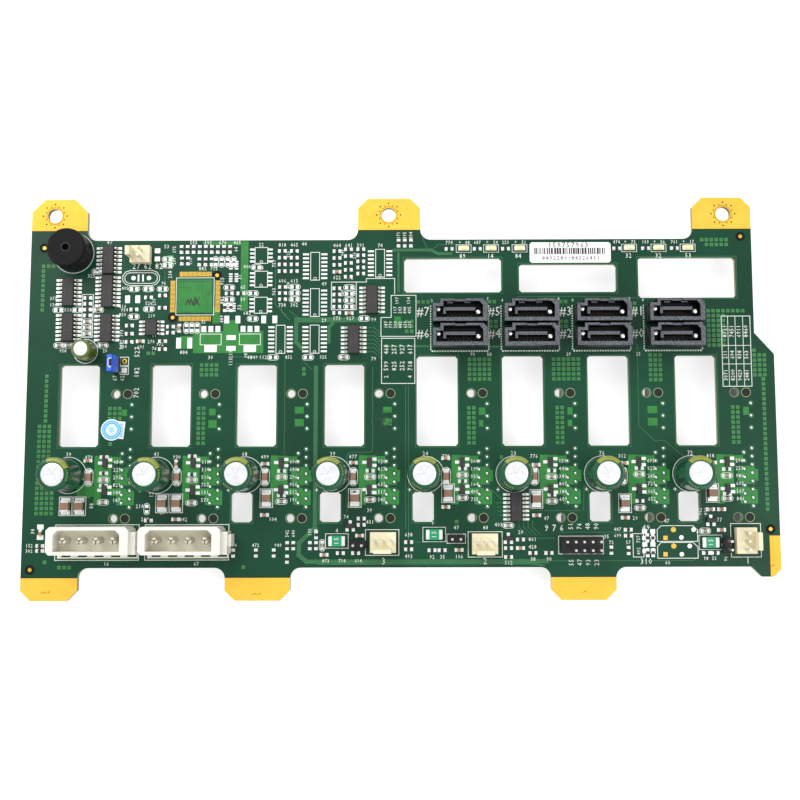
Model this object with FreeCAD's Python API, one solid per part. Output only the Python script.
import FreeCAD, Part
import math
import os

# Drive backplane board: a bare circuit board that carries eight drive receptacles on its rear side
# and the cable headers, capacitors and logic on its front side.
# Frame: +X to the right and +Y to the three drilled tabs, seen from the front; +Z out of the front.
# The board stands on the mating faces of the rear receptacles, which lie at z = 0.
# All lengths are millimetres.

Vec = FreeCAD.Vector

# ---------------------------------------------------------------- driving dimensions
BOARD_WIDTH = 233.6
BOARD_DEPTH = 125.5
BOARD_THICK = 2.0
REAR_HEIGHT = 8.4            # underside of the board above the receptacles' mating faces
TOP = REAR_HEIGHT + BOARD_THICK
UPPER_EDGE = 49.5            # y of the board's upper edge between the tabs
LOWER_EDGE = -52.8
TAB_END = BOARD_DEPTH / 2
LEFT = -BOARD_WIDTH / 2
RIGHT = BOARD_WIDTH / 2
SHOULDER_X = 110.8           # right edge above the shoulder
SHOULDER_Y = (19.5, 12.8)    # the slanted shoulder's ends
FOOT_Y = -55.85              # lower end of the right-hand foot
FOOT_CHAMFER = 2.3
NECK_RADIUS = 3.2            # fillets where the tabs leave the board
TAB_CHAMFER = 3.1
FIRST_TAB_CHAMFER = 4.1
UPPER_TABS = ((LEFT, -99.1), (-13.4, 6.3), (92.3, SHOULDER_X))
LOWER_TABS = ((LEFT, -99.3), (-54.0, -33.9), (46.2, 66.2))
TAB_HOLE_X = (-109.5, -3.7, 102.1)
TAB_HOLE_Y = 57.5
TAB_HOLE_RADIUS = 2.25
LAND_THICK = 0.07            # gold-plated copper on the tabs
LAND_HOLE_RADIUS = 2.31
LAND_HOLE_SIDES = 16
UPPER_LAND_Y = 52.7
LOWER_LAND_Y = -55.85
FOOT_LAND = (113.5, -43.4)   # left edge and upper edge of the land on the foot

# Bays: one receptacle each, from left to right; the right four stand a little further over.
BAYS = 8
BAY_PITCH = 27.34
CENTRE_GAP = 1.4
FIRST_BAY_X = -88.75         # x of the open locating holes of the first bay
UPPER_PEG_Y = 0.8
LOWER_PEG_Y = -37.75
PEG_OFFSET = 3.63            # from the open hole to the filled one
HOLE_RADIUS = 1.25
PEG_RADIUS = 1.2
PEG_LENGTH = 1.8
HOLE_SIDES = 10              # small round forms repeat many times, so they are regular polygons
PEG_SIDES = 8

# Rear receptacles: a signal slot and a power slot between two guide towers
RECEPTACLE_Y = (UPPER_PEG_Y + LOWER_PEG_Y) / 2
RECEPTACLE_WIDTH = 4.8
RECEPTACLE_HALF = 21.4
RECEPTACLE_FACE = 1.9        # z of the slotted face, behind the towers' tips
TOWER = 3.4
TOWER_LEAD_IN = 0.9
CONTACT_PITCH = 1.27
SIGNAL_CONTACTS = 7
POWER_CONTACTS = 15
SIGNAL_START = -3.34         # first contact, from the upper pegs
POWER_START = -17.30
SLOT_WIDTH = 1.5
SLOT_KEY = (0.8, 1.2)        # how far the key turns off, and its width
SLOT_TOP = 6.9
SLOT_MARGIN = 1.5
SPRING_START = 3.0
SPRING_BOW = 0.35
SPRING_WIDTH = 0.6

# Windows in the board
WINDOW_CORNER = 0.7
TALL_WINDOW_X = (-100.2, -71.6, -44.85, -17.5, 11.45, 38.15, 64.8, 92.1)
TALL_WINDOW_WIDTH = (12.3, 12.8)      # left four, right four
TALL_WINDOW_TOP = (9.85, 12.4)
TALL_WINDOW_BOTTOM = -15.6
UPPER_WINDOWS = ((16.5, 32.6, 43.5), (52.7, 32.6, 41.5), (90.2, 30.7, 43.5))   # x, y low, y high
UPPER_WINDOW_WIDTH = 30.6
SMALL_WINDOW_BAYS = (2, 3, 4, 6, 7)
SMALL_WINDOW = (6.5, -38.95, -29.85)  # width, y low, y high
SMALL_WINDOW_OFFSET = -15.0

# Front connectors
PORT_COLUMNS_X = (85.4, 63.0, 40.7, 18.6)      # ports 0/1, 2/3, 4/5, 6/7
PORT_ROWS_Y = (18.3, 25.9)
PORT_HEIGHT = 8.4
PORT_WIDTH = 16.8
PORT_FLOOR = 2.2
PORT_TONGUE_TOP = 7.3
PORT_TONGUE = (-5.2, 4.7)    # its ends in x
PORT_TONGUE_FACE = -0.1      # y of the face with the contacts
PORT_CONTACT = (0.5, 0.25)   # width and bow
POWER_HEADERS_X = (-94.1, -66.4)
POWER_HEADER_Y = -44.2
POWER_PITCH = 5.08
POWER_HEIGHT = 10.2
POWER_FLOOR = 2.6
POWER_FOOT = 1.1             # height of the slotted foot
POWER_PIN_RADIUS = 1.05
POWER_PIN_TOP = 8.9
POWER_PIN_POINT = 0.6
FAN_HEADERS = ((105.3, -44.8, 90), (25.9, -45.1, 0), (-5.3, -44.6, 0))   # x, y, turned by
RESET_HEADER = (-81.2, 44.7, -90)
LOCK_BASE = 3.2
LOCK_TOP = 9.6
PIN = 0.64
PIN_PITCH = 2.54
PIN_TAIL = 1.4               # what a through pin shows below the board
PIN_TOP = 8.6
BASE_NIP = 0.4               # the nipped corners between the positions of a pin base
ACTIVITY_HEADER = (55.6, -46.15)
FAN_JUMPERS = ((100.0, -46.1, 90), (17.1, -44.0, 0), (-12.9, -45.8, 0))
MODE_HEADER = (-88.9, 9.85, 90)

# Front parts that stand or lie on the board
CAPACITOR_OFFSET = -14.5
CAPACITOR_Y = -24.3
CAPACITOR_RADIUS = 5.1
CAPACITOR_HEIGHT = 16.0
CAN_SIDES = 20
CAN_SHOULDER = 0.9
SMALL_CAPACITOR = (-98.0, 14.2, 3.1, 8.5)      # x, y, radius, height
BUZZER = (-103.2, 45.7, 6.0, 9.5)
BUZZER_SIDES = 28
BUZZER_EDGE = 0.4
SOUND_HOLE = (1.0, 2.0)      # radius and depth
LEAD_PITCH = 1.27
CHIPS = (
    # x, y, leads on a side
    (-104.45, 33.0, 7),
    (-104.3, 21.85, 7),
    (-92.05, 43.2, 7),
    (-92.15, 33.2, 8),
    (-92.2, 21.6, 7),
    (-78.1, 21.65, 4),
    (-8.9, 30.3, 7),
    (-14.65, 17.7, 7),
    (35.7, -34.4, 7),
)
CHIP_WIDTH = 3.9
CHIP_RISE = 0.15             # underside of a chip's body above the board
CHIP_BAND = (0.7, 1.05)      # the upright band that the leads leave from
CHIP_HEIGHT = 1.65
CHIP_DRAFT = (0.12, 0.35)    # how far the body narrows below and above the band
LEAD_REACH = 1.15
LEAD_WIDTH = 0.42
LED_X = (20.0, 28.65, 37.65, 72.25, 81.5, 90.7)
LED_Y = 46.6
LED_SIZE = (3.0, 1.5, 1.0)
FUSES = ((95.3, -45.4), (10.4, -42.8), (-19.6, -44.7))
FUSE_SIZE = (4.6, 3.3, 0.9)
LABEL = (40.8, 66.4, 41.95, 48.5)
LABEL_CORNER = 0.6
STICKER = (-89.9, -10.35, 3.35)
PAPER = 0.12

# Ceramic capacitors and three-lead parts of each bay
BIG_CERAMICS = (
    # x from the bay's open hole, y, bay
    (-14.8, -33.9, 0),
    (-10.5, -33.9, 0),
    (-12.3, -33.1, 1),
    (-7.9, -33.1, 1),
    (-7.4, -31.6, 2),
    (-7.4, -31.6, 3),
    (-7.3, -30.2, 4),
    (-7.4, -32.0, 5),
    (-7.4, -33.4, 6),
    (-7.7, -30.3, 7),
)
BIG_CERAMIC_SIZE = (2.5, 3.2, 1.6)
SLIM_CERAMIC = (-7.9, -25.0)
SLIM_CERAMIC_SIZE = (1.6, 3.2, 1.1)
SENSOR_OFFSET = -2.9
SENSOR_ROWS = (-20.6, -29.0)
SENSOR_SIZE = (1.35, 2.9, 1.0)


# ---------------------------------------------------------------- shapes
def face_of(points):
    """A flat face with straight edges through the points, which are vectors."""
    return Part.Face(Part.makePolygon(points + points[:1]))


def prism(corners, z, height):
    """An upright prism on a polygon given as (x, y) corners."""
    return face_of([Vec(x, y, z) for x, y in corners]).extrude(Vec(0, 0, height))


def block(x0, x1, y0, y1, z0, z1):
    return Part.makeBox(x1 - x0, y1 - y0, z1 - z0, Vec(x0, y0, z0))


def block_at(x, y, width, depth, z0, z1):
    return block(x - width / 2, x + width / 2, y - depth / 2, y + depth / 2, z0, z1)


def post(x, y, radius, z0, z1):
    return Part.makeCylinder(radius, z1 - z0, Vec(x, y, z0))


def many_sided(x, y, radius, z0, z1, sides):
    """An upright regular prism."""
    turns = [2 * math.pi * (i + 0.5) / sides for i in range(sides)]
    return prism([(x + radius * math.cos(a), y + radius * math.sin(a)) for a in turns], z0, z1 - z0)


def bevelled(shape, size):
    """The shape with the edges of its highest face cut back."""
    top = max(shape.Faces, key=lambda face: face.CenterOfMass.z)
    return shape.makeChamfer(size, top.Edges)


def along_x(side, x0, x1):
    """A bar between two x whose section is given as (y, z) corners."""
    return face_of([Vec(x0, y, z) for y, z in side]).extrude(Vec(x1 - x0, 0, 0))


def along_y(side, y0, y1):
    """A bar between two y whose section is given as (x, z) corners."""
    return face_of([Vec(x, y0, z) for x, z in side]).extrude(Vec(0, y1 - y0, 0))


def nipped(x0, x1, y0, y1, corner, z, thickness):
    """A rectangular plate whose corners are cut off."""
    left = [(x0, y1 - corner), (x0, y0 + corner)]
    bottom = [(x0 + corner, y0), (x1 - corner, y0)]
    right = [(x1, y0 + corner), (x1, y1 - corner)]
    top = [(x1 - corner, y1), (x0 + corner, y1)]
    return prism(left + bottom + right + top, z, thickness)


def rounded_outline(corners, z):
    """A closed wire through (x, y, radius) corners; a radius of 0 leaves the corner sharp."""
    points = [Vec(x, y, z) for x, y, _ in corners]
    edges = []
    starts = []
    ends = []
    for i, (x, y, radius) in enumerate(corners):
        here = points[i]
        to_previous = (points[i - 1] - here).normalize()
        to_next = (points[(i + 1) % len(points)] - here).normalize()
        if radius == 0:
            starts.append(here)
            ends.append(here)
            continue
        half = to_previous.getAngle(to_next) / 2
        setback = radius / math.tan(half)
        middle = (to_previous + to_next).normalize() * (radius / math.sin(half) - radius)
        starts.append(here + to_previous * setback)
        ends.append(here + to_next * setback)
        edges.append(Part.Arc(starts[i], here + middle, ends[i]).toShape())
    for i in range(len(points)):
        edges.append(Part.LineSegment(ends[i - 1], starts[i]).toShape())
    return Part.Wire(Part.__sortEdges__(edges))


def plate(corners, z, thickness):
    return Part.Face(rounded_outline(corners, z)).extrude(Vec(0, 0, thickness))


def window(x, width, y0, y1):
    """The cutter for a window, through the whole board."""
    return nipped(x - width / 2, x + width / 2, y0, y1, WINDOW_CORNER, REAR_HEIGHT - 1, BOARD_THICK + 2)


def placed(shape, x, y, turn=0, z=0):
    """A copy of a shape that was made about the origin, turned about Z and moved."""
    rotation = FreeCAD.Rotation(Vec(0, 0, 1), turn)
    copy = shape.copy()
    copy.Placement = FreeCAD.Placement(Vec(x, y, z), rotation)
    return copy


def save(name, shape):
    shape.exportStep("parts/" + name + ".step")


def save_group(name, shapes):
    """Like pieces that share a node, each still a solid of its own."""
    save(name, Part.makeCompound(shapes))


# ---------------------------------------------------------------- board
def bay_x(bay):
    return FIRST_BAY_X + bay * BAY_PITCH + (CENTRE_GAP if bay >= BAYS / 2 else 0)


def tab_corners(x0, x1, edge, end, chamfer):
    """The outline of one tab, from its left neck round to its right neck."""
    shoulder = end - math.copysign(chamfer, end)
    left = [(x0, edge, NECK_RADIUS), (x0, shoulder, 0), (x0 + chamfer, end, 0)]
    right = [(x1 - chamfer, end, 0), (x1, shoulder, 0), (x1, edge, NECK_RADIUS)]
    return left + right


def board_outline():
    first, middle, last = UPPER_TABS
    corners = tab_corners(*first, UPPER_EDGE, TAB_END, FIRST_TAB_CHAMFER)[1:]
    corners += tab_corners(*middle, UPPER_EDGE, TAB_END, TAB_CHAMFER)
    corners += tab_corners(*last, UPPER_EDGE, TAB_END, TAB_CHAMFER)[:-1]
    corners += [(SHOULDER_X, SHOULDER_Y[0], 0), (RIGHT, SHOULDER_Y[1], 0)]
    corners += [(RIGHT, FOOT_Y + FOOT_CHAMFER, 0), (RIGHT - FOOT_CHAMFER, FOOT_Y, 0)]
    corners += [(SHOULDER_X, FOOT_Y, 0), (SHOULDER_X + FOOT_Y - LOWER_EDGE, LOWER_EDGE, 0)]
    for x0, x1 in reversed(LOWER_TABS):
        corners += tab_corners(x0, x1, LOWER_EDGE, -TAB_END, TAB_CHAMFER)[::-1]
    return corners[:-1]


def through_pins():
    """Where the square pins of the pin headers pass the board, as (x, y)."""
    places = []
    for header in FAN_HEADERS:
        places += pin_row(3, *header)
    places += pin_row(2, *RESET_HEADER)
    for header in FAN_JUMPERS + (MODE_HEADER,):
        places += pin_row(2, *header)
    return places + activity_pins()


def pin_row(count, x, y, turn):
    angle = math.radians(turn)
    steps = [(i - (count - 1) / 2) * PIN_PITCH for i in range(count)]
    return [(x + step * math.cos(angle), y + step * math.sin(angle)) for step in steps]


def activity_pins():
    """Two rows of five with the lower left position left out as the key."""
    x, y = ACTIVITY_HEADER
    grid = [(x + (i - 2) * PIN_PITCH, y + (j - 0.5) * PIN_PITCH) for i in range(5) for j in range(2)]
    return grid[1:]


def board():
    shape = plate(board_outline(), REAR_HEIGHT, BOARD_THICK)
    cutters = []
    for i, x in enumerate(TALL_WINDOW_X):
        half = 0 if i < BAYS / 2 else 1
        cutters.append(window(x, TALL_WINDOW_WIDTH[half], TALL_WINDOW_BOTTOM, TALL_WINDOW_TOP[half]))
    for x, y0, y1 in UPPER_WINDOWS:
        cutters.append(window(x, UPPER_WINDOW_WIDTH, y0, y1))
    for bay in SMALL_WINDOW_BAYS:
        cutters.append(window(bay_x(bay) + SMALL_WINDOW_OFFSET, *SMALL_WINDOW))
    z0 = REAR_HEIGHT - 1
    z1 = TOP + 1
    cutters += [post(x, TAB_HOLE_Y, TAB_HOLE_RADIUS, z0, z1) for x in TAB_HOLE_X]
    for bay in range(BAYS):
        x = bay_x(bay)
        for y in (UPPER_PEG_Y, LOWER_PEG_Y):
            cutters.append(many_sided(x, y, HOLE_RADIUS, z0, z1, HOLE_SIDES))
            cutters.append(many_sided(x + PEG_OFFSET, y, HOLE_RADIUS, z0, z1, PEG_SIDES))
    cutters += [block_at(x, y, PIN, PIN, z0, z1) for x, y in through_pins()]
    for header_x in POWER_HEADERS_X:
        cutters += power_bores(header_x, z0, z1)
    return shape.cut(cutters)


def gold_lands():
    """Bare gold-plated copper on both faces of every tab and of the foot."""
    lands = []
    chamfers = (FIRST_TAB_CHAMFER, TAB_CHAMFER, TAB_CHAMFER)
    for z in (TOP, REAR_HEIGHT - LAND_THICK):
        for (x0, x1), chamfer, hole_x in zip(UPPER_TABS, chamfers, TAB_HOLE_X):
            ring = [(x0, UPPER_LAND_Y), (x0, TAB_END - chamfer), (x0 + chamfer, TAB_END)]
            ring += [(x1 - chamfer, TAB_END), (x1, TAB_END - chamfer), (x1, UPPER_LAND_Y)]
            bore = many_sided(hole_x, TAB_HOLE_Y, LAND_HOLE_RADIUS, z - 1, z + 1, LAND_HOLE_SIDES)
            lands.append(prism(ring, z, LAND_THICK).cut(bore))
        for x0, x1 in LOWER_TABS:
            ring = [(x0, LOWER_LAND_Y), (x0, TAB_CHAMFER - TAB_END), (x0 + TAB_CHAMFER, -TAB_END)]
            ring += [(x1 - TAB_CHAMFER, -TAB_END), (x1, TAB_CHAMFER - TAB_END), (x1, LOWER_LAND_Y)]
            lands.append(prism(ring, z, LAND_THICK))
        x0, y1 = FOOT_LAND
        ring = [(x0, y1), (RIGHT, y1), (RIGHT, FOOT_Y + FOOT_CHAMFER)]
        ring += [(RIGHT - FOOT_CHAMFER, FOOT_Y), (x0, FOOT_Y)]
        lands.append(prism(ring, z, LAND_THICK))
    return lands


# ---------------------------------------------------------------- rear receptacles
def contact_rows():
    """The y of each contact, signal contacts first."""
    signal = [UPPER_PEG_Y + SIGNAL_START - i * CONTACT_PITCH for i in range(SIGNAL_CONTACTS)]
    power = [UPPER_PEG_Y + POWER_START - i * CONTACT_PITCH for i in range(POWER_CONTACTS)]
    return signal, power


def slot(y_first, y_last, key_end):
    """An L-shaped slot; the key turns off across one end of the row of contacts."""
    y1 = y_first + SLOT_MARGIN
    y0 = y_last - SLOT_MARGIN
    reach, key_width = SLOT_KEY
    bar = block(-SLOT_WIDTH / 2, SLOT_WIDTH / 2, y0, y1, -1, SLOT_TOP)
    key_y = y1 - key_width if key_end > 0 else y0
    return bar.fuse(block(-SLOT_WIDTH / 2 - reach, 0, key_y, key_y + key_width, -1, SLOT_TOP))


def receptacle_contacts():
    """Bowed springs against one long wall of the slots, made about x = 0."""
    wall = SLOT_WIDTH / 2
    bow_z = SPRING_START + (SLOT_TOP - SPRING_START) / 3
    side = [(wall, SPRING_START), (wall, SLOT_TOP), (wall - SPRING_BOW, bow_z)]
    half = SPRING_WIDTH / 2
    return [along_y(side, y - half, y + half) for y in sum(contact_rows(), [])]


def receptacle_housing():
    """The moulding about x = 0, with its pegs up through the board."""
    y = RECEPTACLE_HALF
    inner = RECEPTACLE_HALF - TOWER
    lead = TOWER_LEAD_IN
    side = [(-y, REAR_HEIGHT), (-y, lead), (-y + lead, 0), (-inner - lead, 0), (-inner, RECEPTACLE_FACE)]
    side += [(-a, z) for a, z in side[::-1]]
    half = RECEPTACLE_WIDTH / 2
    body = along_x([(RECEPTACLE_Y + a, z) for a, z in side], -half, half)
    signal, power = contact_rows()
    body = body.cut([slot(signal[0], signal[-1], 1), slot(power[0], power[-1], -1)])
    sunk = REAR_HEIGHT - 0.5
    for peg_y in (UPPER_PEG_Y, LOWER_PEG_Y):
        peg = many_sided(0, peg_y, PEG_RADIUS, sunk, REAR_HEIGHT + PEG_LENGTH, PEG_SIDES)
        body = body.fuse(peg)
    return body.removeSplitter()


def drive_receptacles():
    contacts = receptacle_contacts()
    housing = receptacle_housing()
    group = []
    for bay in range(BAYS):
        x = bay_x(bay) + PEG_OFFSET
        save("drive_receptacle_%d" % (bay + 1), placed(housing, x, 0))
        group += [placed(contact, x, 0) for contact in contacts]
    save_group("drive_contacts", group)


# ---------------------------------------------------------------- data ports
def port_contacts():
    """Seven contacts on the lower face of the tongue, about the origin."""
    half_width = PORT_CONTACT[0] / 2
    bow = PORT_TONGUE_FACE - PORT_CONTACT[1]
    middle = (PORT_TONGUE[0] + PORT_TONGUE[1]) / 2
    places = [middle + (i - 3) * CONTACT_PITCH for i in range(SIGNAL_CONTACTS)]
    tip = PORT_TONGUE_TOP - 0.4
    side = [(PORT_TONGUE_FACE, PORT_FLOOR), (PORT_TONGUE_FACE, tip), (bow, tip - 1.2)]
    return [along_x(side, x - half_width, x + half_width) for x in places]


def port_housing():
    """An upright shroud with an L-shaped tongue, stepped and chamfered along its upper side."""
    x = PORT_WIDTH / 2
    step = 2.3 - x
    outer = [(-x, -3.45), (x, -3.45), (x, 2.05), (x - 1.4, 3.45), (step, 3.45), (step, 2.05), (-x, 2.05)]
    inner = [(1 - x, -2.3), (x - 1.4, -2.3), (x - 1.4, 1.5), (x - 2.5, 2.75)]
    inner += [(step + 0.9, 2.75), (step + 0.9, 1.15), (1 - x, 1.15)]
    body = prism(outer, 0, PORT_HEIGHT)
    body = body.cut(prism(inner, PORT_FLOOR, PORT_HEIGHT))
    # The latch notch in the upper wall
    body = body.cut(block(-1.7, 1.7, 2.6, 3.6, PORT_HEIGHT - 1.1, PORT_HEIGHT + 1))
    left, right = PORT_TONGUE
    hook = left + 0.8
    face = PORT_TONGUE_FACE
    tongue = [(left, 0.9), (left, face - 1.1), (hook, face - 1.1), (hook, face), (right, face), (right, 0.9)]
    return body.fuse(prism(tongue, PORT_FLOOR, PORT_TONGUE_TOP - PORT_FLOOR))


def data_ports():
    housing = port_housing()
    contacts = port_contacts()
    group = []
    for column, x in enumerate(PORT_COLUMNS_X):
        for row, y in enumerate(PORT_ROWS_Y):
            save("data_port_%d" % (2 * column + row), placed(housing, x, y, 0, TOP))
            group += [placed(contact, x, y, 0, TOP) for contact in contacts]
    save_group("data_port_contacts", group)


# ---------------------------------------------------------------- power headers
def power_pin_x(header_x):
    return [header_x + (i - 1.5) * POWER_PITCH for i in range(4)]


def power_bores(header_x, z0, z1):
    """What the pins of one header take out of the board or the header."""
    places = power_pin_x(header_x)
    return [many_sided(x, POWER_HEADER_Y, POWER_PIN_RADIUS, z0, z1, PEG_SIDES) for x in places]


def power_pin(x):
    """A pin with a pointed tip whose tail shows below the board."""
    low = REAR_HEIGHT - PIN_TAIL
    pin = many_sided(x, POWER_HEADER_Y, POWER_PIN_RADIUS, low, TOP + POWER_PIN_TOP, PEG_SIDES)
    return bevelled(pin, POWER_PIN_POINT)


def power_housing():
    """The shroud about its middle pin gap: D-shaped cavity, end step with a latch, slotted foot."""
    outer = [(-12.3, -3.2), (-11.3, -4.2), (12.5, -4.2), (12.5, 3.2), (11.5, 4.2), (-11.3, 4.2), (-12.3, 3.2)]
    cavity = [(-10.1, -3.2), (9.9, -3.2), (9.9, 1.9), (8.6, 3.2), (-8.8, 3.2), (-10.1, 1.9)]
    body = prism(outer, 0, POWER_HEIGHT)
    body = body.fuse(block(12.0, 14.2, -4.2, 2.6, 0, POWER_HEIGHT - 2.2))
    body = body.fuse(block(14.0, 15.2, -1.8, 1.8, 0, POWER_HEIGHT - 4.0))
    foot = block(-11.3, 13.4, -5.6, -4.0, 0, POWER_FOOT)
    slots = [block_at((i - 1.5) * POWER_PITCH - 1.0, -4.75, 2.9, 0.9, -1, 2) for i in range(5)]
    body = body.fuse(foot.cut(slots))
    return body.cut(prism(cavity, POWER_FLOOR, POWER_HEIGHT))


def power_headers():
    housing = power_housing()
    pins = []
    for i, header_x in enumerate(POWER_HEADERS_X):
        seated = placed(housing, header_x, POWER_HEADER_Y, 0, TOP)
        save("power_header_%d" % (i + 1), seated.cut(power_bores(header_x, TOP - 1, TOP + POWER_FLOOR + 1)))
        pins += [power_pin(x) for x in power_pin_x(header_x)]
    save_group("power_pins", pins)


# ---------------------------------------------------------------- pin headers
def pin_bores(places):
    return [block_at(x, y, PIN, PIN, -1, LOCK_TOP) for x, y in places]


def lock_header(count):
    """A base block with a friction wall along its lower side, about the row of pins."""
    half = count * PIN_PITCH / 2 + 0.15
    back = -3.6
    base = [(back, 0), (2.6, 0), (2.6, LOCK_BASE), (back, LOCK_BASE)]
    wall = [(back, 0), (-2.2, 0), (-2.2, 7.6), (-1.8, 8.2), (-2.4, LOCK_TOP), (back, LOCK_TOP)]
    body = along_x(base, -half, half).fuse(along_x(wall, 1.3 - half, half - 1.3))
    return body.cut(pin_bores(pin_row(count, 0, 0, 0))).removeSplitter()


def pin_base(columns, rows, places):
    """A low base, nipped between its positions, about its centre; places are its pins."""
    half_x = columns * PIN_PITCH / 2
    half_y = rows * PIN_PITCH / 2
    upper = []
    for i in range(columns):
        x = i * PIN_PITCH - half_x
        upper += [(x, half_y - BASE_NIP), (x + BASE_NIP, half_y), (x + PIN_PITCH - BASE_NIP, half_y)]
    upper.append((half_x, half_y - BASE_NIP))
    lower = [(-x, -y) for x, y in upper]
    return prism(upper + lower, 0, PIN_PITCH).cut(pin_bores(places))


def shunt():
    """The push-on jumper: an open-ended cap with a finger ridge, about its two pins."""
    base = PIN_PITCH
    side = [(-1.25, base), (1.25, base), (1.25, base + 4.6), (0.75, base + 5.2), (0.75, base + 6.4)]
    side += [(-0.75, base + 6.4), (-0.75, base + 5.2), (-1.25, base + 4.6)]
    return along_x(side, -2.5, 2.5).cut(pin_bores(pin_row(2, 0, 0, 0)))


def pin_headers():
    for i, header in enumerate(FAN_HEADERS):
        save("fan_header_%d" % (i + 1), placed(lock_header(3), *header, TOP))
    save("reset_header", placed(lock_header(2), *RESET_HEADER, TOP))
    pair = pin_base(2, 1, pin_row(2, 0, 0, 0))
    for i, header in enumerate(FAN_JUMPERS):
        save("fan_jumper_%d" % (i + 1), placed(pair, *header, TOP))
    save("mode_header", placed(pair, *MODE_HEADER, TOP))
    save("mode_shunt", placed(shunt(), *MODE_HEADER, TOP))
    x, y = ACTIVITY_HEADER
    block_of_ten = pin_base(5, 2, [(pin_x - x, pin_y - y) for pin_x, pin_y in activity_pins()])
    save("activity_header", placed(block_of_ten, x, y, 0, TOP))
    low = REAR_HEIGHT - PIN_TAIL
    save_group("header_pins", [block_at(x, y, PIN, PIN, low, TOP + PIN_TOP) for x, y in through_pins()])


# ---------------------------------------------------------------- capacitors and buzzer
def can(x, y, radius, height):
    """An upright capacitor: sleeved wall, rolled shoulder and flat top."""
    return bevelled(many_sided(x, y, radius, TOP, TOP + height, CAN_SIDES), CAN_SHOULDER)


def capacitors():
    for bay in range(BAYS):
        x = bay_x(bay) + CAPACITOR_OFFSET
        save("bulk_capacitor_%d" % (bay + 1), can(x, CAPACITOR_Y, CAPACITOR_RADIUS, CAPACITOR_HEIGHT))
    save("small_capacitor", can(*SMALL_CAPACITOR))


def buzzer():
    x, y, radius, height = BUZZER
    top = TOP + height
    case = bevelled(many_sided(x, y, radius, TOP, top, BUZZER_SIDES), BUZZER_EDGE)
    hole_radius, depth = SOUND_HOLE
    save("buzzer", case.cut(many_sided(x, y, hole_radius, top - depth, top + 1, HOLE_SIDES)))


# ---------------------------------------------------------------- chips and small parts
def chip_body(leads):
    """A moulded body that narrows below and above the leads' band, about the origin."""
    half_length = (leads * LEAD_PITCH - 0.3) / 2
    half = CHIP_WIDTH / 2
    below, above = CHIP_DRAFT
    low, high = CHIP_BAND
    right = [(half - below, CHIP_RISE), (half, low), (half, high), (half - above, CHIP_HEIGHT)]
    left = [(-x, z) for x, z in right[::-1]]
    return along_y(right + left, -half_length, half_length)


def gull_lead():
    """One lead to the right: out of the band, down, and flat on the board."""
    x = CHIP_WIDTH / 2
    low, high = CHIP_BAND
    profile = [(x, high), (x + 0.45, high), (x + LEAD_REACH, 0), (x + 0.35, 0), (x, low)]
    return along_y(profile, -LEAD_WIDTH / 2, LEAD_WIDTH / 2)


def chips():
    lead = gull_lead()
    leads = []
    for i, (x, y, count) in enumerate(CHIPS):
        save("chip_%d" % (i + 1), placed(chip_body(count), x, y, 0, TOP))
        rows = [(k - (count - 1) / 2) * LEAD_PITCH for k in range(count)]
        for turn in (0, 180):
            leads += [placed(lead, x, y + row, turn, TOP) for row in rows]
    save_group("chip_leads", leads)


def lying(size, x, y):
    """A small block-shaped part that lies on the board."""
    width, depth, height = size
    return block_at(x, y, width, depth, TOP, TOP + height)


def chip_capacitors():
    pieces = [lying(BIG_CERAMIC_SIZE, bay_x(bay) + offset, y) for offset, y, bay in BIG_CERAMICS]
    offset, y = SLIM_CERAMIC
    pieces += [lying(SLIM_CERAMIC_SIZE, bay_x(bay) + offset, y) for bay in range(BAYS)]
    save_group("chip_capacitors", pieces)


def transistors():
    """The small three-lead parts beside each receptacle's solder rows."""
    places = [(bay_x(bay) + SENSOR_OFFSET, y) for bay in range(BAYS) for y in SENSOR_ROWS]
    save_group("transistors", [lying(SENSOR_SIZE, x, y) for x, y in places])


def flat_parts():
    save_group("fuses", [lying(FUSE_SIZE, x, y) for x, y in FUSES])
    save_group("status_leds", [lying(LED_SIZE, x, LED_Y) for x in LED_X])
    save("label", nipped(*LABEL, LABEL_CORNER, TOP, PAPER))
    x, y, radius = STICKER
    save("sticker", many_sided(x, y, radius, TOP, TOP + PAPER, CAN_SIDES))


os.makedirs("parts", exist_ok=True)
save("pcb", board())
save_group("gold_lands", gold_lands())
drive_receptacles()
data_ports()
power_headers()
pin_headers()
capacitors()
buzzer()
chips()
chip_capacitors()
transistors()
flat_parts()
